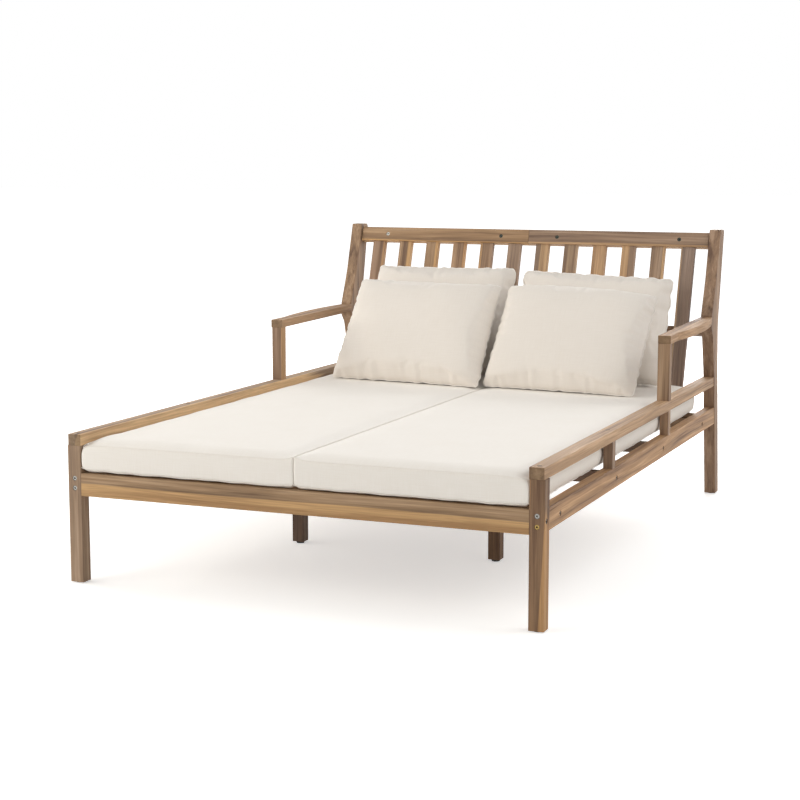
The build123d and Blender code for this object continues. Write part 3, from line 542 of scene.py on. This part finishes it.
def seat_cushion(side, seed):
    """One cushion. Grid lines crowd towards the edges. The plan's corners are rounded by mapping
    a square onto a quarter disc, more at the front's top seam than lower down, and hardly at the
    split. The seams sink and lift by a share that dies away from the outer corners. The sides
    bulge as a sine of the height, and the top rises from the seam by crown_rise of a smoothed
    distance to the nearest edge. Then it is blown up as cloth and kept within its room."""
    chance = np.random.default_rng(seed)
    u, v, w = (2 * cushion_grid[:, 0] - 1, 2 * cushion_grid[:, 1] - 1, cushion_grid[:, 2])
    u, v = (crowded(t, *cushion_crowding) for t in (u, v))
    inner, outer = seat_low.x - split_overrun, seat_high.x
    front = seat_low.y - front_reach + bulge
    half_x = (outer - inner) / 2
    half_y = (rear_at_crest - front) / 2
    from_split, edge_y = half_x * (1 + u), half_y * (1 - np.abs(v))
    edge_x = np.minimum(from_split, half_x * (1 - u))
    inwards = np.minimum(edge_x, edge_y)
    outer_side, at_edge = u > 0.999, inwards < 1e-6
    on_top, at_foot = w > 0.999, w < 0.001

    # Heights of the seams
    corner = np.exp(-np.hypot(edge_x, edge_y) / corner_spread)
    top_seam = crest - crown + (crown - split_crown) * np.exp(-from_split / split_spread)
    top_seam -= corner_drop * corner * (u > 0)
    foot = deck + lower_lift + corner_lift * corner
    level = foot + w * (top_seam - foot)

    # The plan at each level
    half_y -= ((crest - level) * slope * slant(from_split) + rear_gap + bulge) / 2
    x, y = u * half_x, v * half_y
    radius = np.where(v > 0, rear_round, foot_round + (seam_round - foot_round) * w ** 6)
    radius = np.where(u > 0, radius, split_round)
    into_x = np.maximum(np.abs(x) - (half_x - radius), 0) / radius
    into_y = np.maximum(np.abs(y) - (half_y - radius), 0) / radius
    x -= np.sign(x) * radius * into_x * (1 - np.sqrt(1 - into_y ** 2 / 2))
    y -= np.sign(y) * radius * into_y * (1 - np.sqrt(1 - into_x ** 2 / 2))
    swell = np.sin(w * pi)
    strip = at_edge * swell * bulge
    x += strip * outer_side + side_bulge * np.maximum(u, 0) ** 6 * (1 - v ** 8) * swell
    x += corner_reach * outer_side * (v < 0) * np.exp(-edge_y / corner_reach_spread)
    y += np.sign(v) * strip * (np.abs(v) > 0.999) - v * end_draw * (1 - u ** 2)

    # The crown above, the tuck below, and the small waves of the filling
    softened = -crown_blend * np.log(
        np.exp(-edge_x / crown_blend) + np.exp(-edge_y / crown_blend) + 1e-30)
    softened = np.maximum(softened, 0) * ~at_edge
    along = np.where(np.abs(v) > np.abs(u), x, y)
    z = np.where(on_top, top_seam + (crest - top_seam) * crown_rise(softened), level)
    z = np.where(at_foot, deck + deck_gap + (foot - deck) * np.exp(-inwards / foot_tuck), z)
    low = (w < 0.5) * (1 - w) * (inwards < foot_wave_reach)
    z += low * foot_wave * ripple(chance, along, *foot_wave_lengths)
    high = on_top * (inwards > top_wave_starts)
    z += high * top_wave * ripple(chance, x + y, *top_wave_lengths)
    points = np.stack([side * (x + (inner + outer) / 2), y + front + half_y, z], 1)
    squares = cushion_squares if side > 0 else cushion_squares[:, ::-1]
    blown = inflate(points, squares, pressure=2.0, spare=0.008, cap=0.004)
    drawn_in = (blown - points) * np.stack([side * u, v, 0 * w], 1) < 0
    points = np.where(drawn_in & at_edge[:, None], points, blown)

    reach = seat_high.x + np.where(points[:, 2] > rail_under, rail_room, open_room)
    reach = np.where(points[:, 1] < leg_rear, np.minimum(reach, seat_high.x + leg_room), reach)
    points[:, 0] = side * np.clip(side * points[:, 0], seat_low.x - split_room, reach)
    rear = (crest - points[:, 2]) * slope * slant(side * points[:, 0])
    points[:, 1] = np.minimum(points[:, 1], rear_at_crest - rear - slat_room)
    points[:, 1] = np.maximum(points[:, 1], seat_low.y - front_reach)
    points[:, 2] = np.clip(points[:, 2], deck + deck_room, crest)
    flat = points[squares]
    facing = cushion_facing[:, None, None]
    cut = np.where(facing == 2, flat[..., :2],
                   np.where(facing == 1, flat[..., [0, 2]], flat[..., [1, 2]]))
    return points, squares, cut


def ring(level):
    """The cushion's points round one seam, in order: those on the plan's edge at this level."""
    on = np.flatnonzero((cushion_grid[:, 2] == level) & (
        (np.abs(cushion_grid[:, 0] - 0.5) == 0.5) | (np.abs(cushion_grid[:, 1] - 0.5) == 0.5)))
    spot = cushion_grid[on, :2] - 0.5
    return on[np.argsort(np.arctan2(spot[:, 1], spot[:, 0]))]


cushion_welt = 0.0009
for side_name, side, seed in (("right", 1, 31), ("left", -1, 32)):
    points, squares, cut = seat_cushion(side, seed)
    cushion = make_piece(f"cushion_{side_name}", points, squares, cut.reshape(-1, 2),
                         seat_canvas_and_seam_highlight)
    smooth = cushion.modifiers.new("smooth", "SUBSURF")
    smooth.levels = smooth.render_levels = 1
    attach(cushion, f"seat_cushion_body_{side_name}")
    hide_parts(f"seat_cushion_{side_name}")
    for level, seam_name in ((1, "top"), (0, "bottom")):
        seam = welt(f"cushion_{seam_name}_seam_{side_name}", points[ring(level)],
                    np.array([[0, 0, 1.0]]), cushion_welt, seat_canvas_and_seam_highlight)
        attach(seam, f"seat_cushion_body_{side_name}")


# Pillows. Two canvas panels sewn edge to edge with a narrow welt and stuffed with fibre, so they
# are full in the middle, thin out to a knife edge and pucker along the seam. Two lean on the
# back slats, and two more lean on those.
def two_panels(columns, rows):
    """Two grids that share their edge. Returns each point's place across and up, from -1 to 1,
    and its panel, 1 in front, -1 behind and 0 on the seam; the squares; and the seam's points
    in order."""
    index = np.arange((columns + 1) * (rows + 1)).reshape(columns + 1, rows + 1)
    inside = np.zeros(index.shape, bool)
    inside[1:-1, 1:-1] = True
    behind = index.copy()
    behind[inside] = index.size + np.arange(inside.sum())
    squares = [np.stack([
        ids[:-1, :-1], ids[1:, :-1], ids[1:, 1:], ids[:-1, 1:]], -1).reshape(-1, 4)
        for ids in (index, behind)]
    u, v = np.meshgrid(
        np.linspace(-1, 1, columns + 1), np.linspace(-1, 1, rows + 1), indexing="ij")
    front = np.stack([u, v, inside], -1).reshape(-1, 3)
    back = np.stack([u[inside], v[inside], -np.ones(inside.sum())], -1)
    seam = np.concatenate([index[:-1, 0], index[-1, :-1], index[:0:-1, -1], index[0, :0:-1]])
    return np.concatenate([front, back]), np.concatenate([squares[0], squares[1][:, ::-1]]), seam


# The pillows' canvas is the seat's cream canvas made darker: painted shade on the upright pillows.
shaded_pillow_canvas = canvas("cream canvas with painted shade, pillows", linear("#ECE6DF"), linear("#E7E0D8"))
pillow_columns, pillow_rows = 84, 60
pillow_crowding = (0.6, 0.4)
pillow_grid, pillow_squares, pillow_seam = two_panels(pillow_columns, pillow_rows)
pillow_column = np.rint((pillow_grid[:, 0] + 1) / 2 * pillow_columns).astype(int)
pillow_row = np.rint((pillow_grid[:, 1] + 1) / 2 * pillow_rows).astype(int)
pillow_width, pillow_height, pillow_thickness = 0.530, 0.378, 0.160
pillow_corner, pillow_draw = 0.016, 0.003
pucker_across, pucker_up, gather = 0.0026, 0.0018, 0.0026
pucker_spread, gather_starts, far_apart = 0.02, 0.006, 9
pucker_lengths, fold_lengths = (0.026, 0.08), (0.12, 0.4)
fill_across, fill_up, fill_round, fill_share = 3.6, 2.8, 0.6, 0.86
touch_room, lean_room = 0.0008, 0.0006
fold, fold_slant, gather_up = 0.003, 0.6, 0.6
outline_kept = (1, 1, 0.6)
rear_place = (0.69207, 0.3966, back_lean)
front_place = (0.45206, 0.40348, radians(32))


def spread(edges, u, v):
    """A grid of moves that equals the given moves on the grid's four edges and runs smoothly
    between them: across plus up, less the part that the corners give twice."""
    s, t = (u + 1)[:, None] / 2, (v + 1)[:, None] / 2
    i, j = pillow_column, pillow_row
    across = edges[0, j] * (1 - s) + edges[-1, j] * s
    upward = edges[i, 0] * (1 - t) + edges[i, -1] * t
    corners = (edges[0, 0] * (1 - s) + edges[-1, 0] * s) * (1 - t)
    corners += (edges[0, -1] * (1 - s) + edges[-1, -1] * s) * t
    return across + upward - corners


def placed(points, y, z, lean):
    """Points of a pillow (across, up, out of its front) set up at a place, leaning back."""
    across, up, out = points.T
    return np.stack([across, y + up * sin(lean) - out * cos(lean),
                     z + up * cos(lean) + out * sin(lean)], 1)


def pushed(points, origin, normal, distance):
    """Points that lie lower than this distance over a plane are lifted onto it."""
    over = (points - origin) @ normal
    return points + np.maximum(distance - over, 0)[:, None] * normal


def pillow(corners, arch, place, seed):
    """One pillow, worked out flat. Its outline runs through four corners (across, up, out) with
    sides a little drawn in between them, a top edge that may arch up, and small waves where the
    seam puckers. Its thickness is the product of one minus a power of the place across and one
    minus a power of the place up, rounded by a root, so it falls to nothing at the seam. It is
    blown up as cloth, its outline is put back, its thickness is held under the real one by a
    hyperbolic tangent, and it is flattened where it touches the cushion, the slats or the
    pillow behind it."""
    chance = np.random.default_rng(seed)
    u, v, panel = pillow_grid.T
    u, v = (crowded(t, *pillow_crowding) for t in (u, v))
    half_x, half_y = pillow_width / 2, pillow_height / 2
    into_u = np.maximum(np.abs(u) * half_x - (half_x - pillow_corner), 0) / pillow_corner
    into_v = np.maximum(np.abs(v) * half_y - (half_y - pillow_corner), 0) / pillow_corner
    s = u - np.sign(u) * pillow_corner / half_x * into_u * (1 - np.sqrt(1 - into_v ** 2 / 2))
    t = v - np.sign(v) * pillow_corner / half_y * into_v * (1 - np.sqrt(1 - into_u ** 2 / 2))
    weights = np.stack([(1 - s) * (1 - t), (1 + s) * (1 - t), (1 - s) * (1 + t),
                        (1 + s) * (1 + t)], 1) / 4
    base = weights @ np.array(corners)
    base[:, 0] -= u * pillow_draw * (1 - v ** 2)
    base[:, 1] -= v * pillow_draw * (1 - u ** 2)
    base[:, 1] += arch * (1 - u ** 2) * (1 + v) / 2

    # Puckers: the seam waves in its own plane, and gathers run in from it for a few centimetres.
    # Opposite sides take their waves from places far apart, so they don't match
    edge_x, edge_y = half_x * (1 - np.abs(u)), half_y * (1 - np.abs(v))
    beside = ripple(chance, v * half_y + far_apart * np.sign(u), *pucker_lengths)
    beside = np.exp(-edge_x / pucker_spread) * beside
    above = ripple(chance, u * half_x + far_apart * np.sign(v), *pucker_lengths)
    above = np.exp(-edge_y / pucker_spread) * above
    base[:, 0] += np.sign(u) * pucker_across * beside
    base[:, 1] += np.sign(v) * pucker_up * above
    profile = (1 - np.abs(u) ** fill_across) ** fill_round * (
        1 - np.abs(v) ** fill_up) ** fill_round
    out = profile * pillow_thickness / 2 * fill_share
    out += profile * fold * ripple(chance, base[:, 0] + fold_slant * base[:, 1], *fold_lengths)
    gathers = gather * (beside * (1 - np.exp(-edge_x / gather_starts)) + gather_up * above * (
        1 - np.exp(-edge_y / gather_starts)))
    points = base.copy()
    points[:, 2] += panel * (out + gathers)
    points = inflate(points, pillow_squares, pressure=4.0, spare=0.03, cap=0.014)
    points -= base
    count = (pillow_columns + 1) * (pillow_rows + 1)
    points -= spread(points[:count].reshape(pillow_columns + 1, -1, 3) * outline_kept, u, v)
    half = pillow_thickness / 2 - touch_room
    bulk = np.abs(points[:, 2]) / half
    points[:, 2] = half * np.sqrt(np.tanh(bulk ** 2)) * np.sign(points[:, 2])
    points = placed(points + base, *place)
    upwards = np.array([0, 0, 1.0])
    points = pushed(points, np.array([0, 0, crest + touch_room]), upwards, 0)
    y, z, lean = rear_place
    normal = np.array([0, -cos(lean), sin(lean)])
    reach = (1 if place is front_place else -1) * pillow_thickness / 2 + lean_room
    points = pushed(points, np.array([0, y, z]), normal, reach)
    side = np.sign(corners[0][0] + corners[1][0])
    points[:, 0] = side * np.maximum(side * points[:, 0], touch_room)
    cut = base[pillow_squares][..., :2]
    cut[len(cut) // 2:] += 1
    return points, cut


# Each pillow's place, the arch of its top edge, and its corners (across, up, out) as it lies:
# bottom left, bottom right, top left, top right
pillows = {
    "rear_pillow_left": (rear_place, 0.0, (
        (-0.520, 0.004, 0), (-0.001, 0.004, 0), (-0.521, 0.384, 0), (-0.008, 0.387, 0))),
    "rear_pillow_right": (rear_place, 0.002, (
        (0.025, 0.004, 0), (0.552, -0.005, 0.05), (0.025, 0.381, 0), (0.549, 0.363, 0))),
    "front_pillow_left": (front_place, 0.0, (
        (-0.553, 0.005, -0.013), (-0.002, -0.025, 0.036), (-0.520, 0.380, 0), (-0.004, 0.370, 0))),
    "front_pillow_right": (front_place, 0.017, (
        (0.004, -0.009, 0.011), (0.529, -0.037, 0.056), (0.025, 0.370, 0), (0.539, 0.346, 0))),
}
pillow_welt = 0.0016
for seed, (pillow_name, (place, arch, corners)) in enumerate(pillows.items(), 41):
    points, cut = pillow(corners, arch, place, seed)
    body = pillow_name.replace("pillow", "pillow_body")
    cover = make_piece(pillow_name.replace("pillow", "stuffed_pillow"), points, pillow_squares,
                       cut.reshape(-1, 2), shaded_pillow_canvas)
    smooth = cover.modifiers.new("smooth", "SUBSURF")
    smooth.levels = smooth.render_levels = 1
    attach(cover, body)
    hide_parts(pillow_name)
    outwards = np.array([[0, -cos(place[2]), sin(place[2])]])
    # The pillow seams take the seat's paler canvas, so they stand out as a painted highlight along
    # the pillows' edges.
    seam = welt(pillow_name.replace("pillow", "pillow_seam"), points[pillow_seam], outwards,
                pillow_welt, seat_canvas_and_seam_highlight)
    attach(seam, body)

# The floor and the backdrop. A matt white studio floor that keeps the daybed's soft shadow, and
# glows more with distance, so that it meets the white world without an edge. The glow and the
# white world are seen by the camera and in reflections only: they don't light the daybed.
floor_reach = 40.0
glow_near, glow_far, glow_starts, glow_full = 0.485, 1.1, 1.7, 4.2
room_light = 0.2
floor_mesh = bpy.data.meshes.new("floor")
corner = floor_reach * np.array([(-1, -1, 0), (1, -1, 0), (1, 1, 0), (-1, 1, 0)])
floor_mesh.from_pydata(corner.tolist(), [], [(0, 1, 2, 3)])
floor = bpy.data.objects.new("floor", floor_mesh)
bpy.context.collection.objects.link(floor)
floor_material, floor_tree = start_material("pale floor")
world = bpy.data.worlds.new("studio")
world.use_nodes = True
world.node_tree.nodes.clear()
in_view = []
for tree in (floor_tree, world.node_tree):
    seen = add(tree, "LightPath")
    direct = add(tree, "Math", {0: seen["Is Camera Ray"], 1: seen["Is Glossy Ray"]},
                 operation="MAXIMUM")[0]
    in_view.append(add(tree, "Math", {0: direct, 1: seen["Is Transmission Ray"]},
                       operation="MAXIMUM")[0])

shade = add(floor_tree, "BsdfDiffuse", {"Color": linear("#F2F2F2")})[0]
place = add(floor_tree, "TexCoord")["Object"]
away = add(floor_tree, "VectorMath", {0: place}, operation="LENGTH")["Value"]
glow = add(floor_tree, "MapRange", {
    "Value": away, "From Min": glow_starts, "From Max": glow_full,
    "To Min": glow_near, "To Max": glow_far,
})["Result"]
bright = add(floor_tree, "Emission", {"Color": linear("#FFFFFF"), "Strength": glow})[0]
both = add(floor_tree, "AddShader", {0: shade, 1: bright})[0]
floor_look = add(floor_tree, "MixShader", {0: in_view[0], 1: shade, 2: both})[0]
add(floor_tree, "OutputMaterial", {"Surface": floor_look})
floor_mesh.materials.append(floor_material)

strength = add(world.node_tree, "MapRange", {
    "Value": in_view[1], "To Min": room_light, "To Max": 1.0})["Result"]
background = add(world.node_tree, "Background", {
    "Color": linear("#FFFFFF"), "Strength": strength})[0]
add(world.node_tree, "OutputWorld", {"Surface": background})
bpy.context.scene.world = world


# The light. Large soft boxes all round, the strongest in front on the left and behind, and a
# little warm but for those that light the upper edges and the floor from behind and above.
daybed_middle = Vector((0, 0, 0.3))
warm = "#FFFBF3"


def lamp(name, place, size, power, colour="#FFFFFF"):
    """A square soft box at a place, turned so that it faces the daybed."""
    light = bpy.data.lights.new(name, "AREA")
    light.shape = "SQUARE"
    light.size = size
    light.energy = power
    light.color = linear(colour)[:3]
    box = bpy.data.objects.new(name, light)
    bpy.context.collection.objects.link(box)
    box.location = place
    box.rotation_euler = (daybed_middle - box.location).to_track_quat("-Z", "Y").to_euler()


lamp("left soft box", (-4.6, -1.0, 2.2), 3.0, 95, warm)
lamp("right soft box", (4.6, -1.2, 2.0), 4.6, 53, warm)
lamp("rear soft box", (0, 4.8, 2.6), 3.0, 181)
lamp("front left soft box", (-3.8, -4.2, 2.4), 3.2, 132, warm)
lamp("front right soft box", (3.8, -4.2, 2.4), 4.6, 40, warm)
lamp("high right soft box", (3.0, 0.6, 3.6), 2.8, 49)
lamp("high left soft box", (-3.0, 0.4, 3.6), 2.8, 20)

# The camera stands where the photograph was taken from: to the right of the daybed's middle and
# above it, looking slightly down.
camera_data = bpy.data.cameras.new("camera")
camera_data.lens = 79.18
camera_data.sensor_width = 36
camera = bpy.data.objects.new("camera", camera_data)
bpy.context.collection.objects.link(camera)
camera.location = (1.9564, -4.9777, 1.1723)
camera.rotation_euler = (radians(90 - 8.086), 0, radians(22.527))
bpy.context.scene.camera = camera
bpy.context.scene.view_settings.view_transform = "Standard"
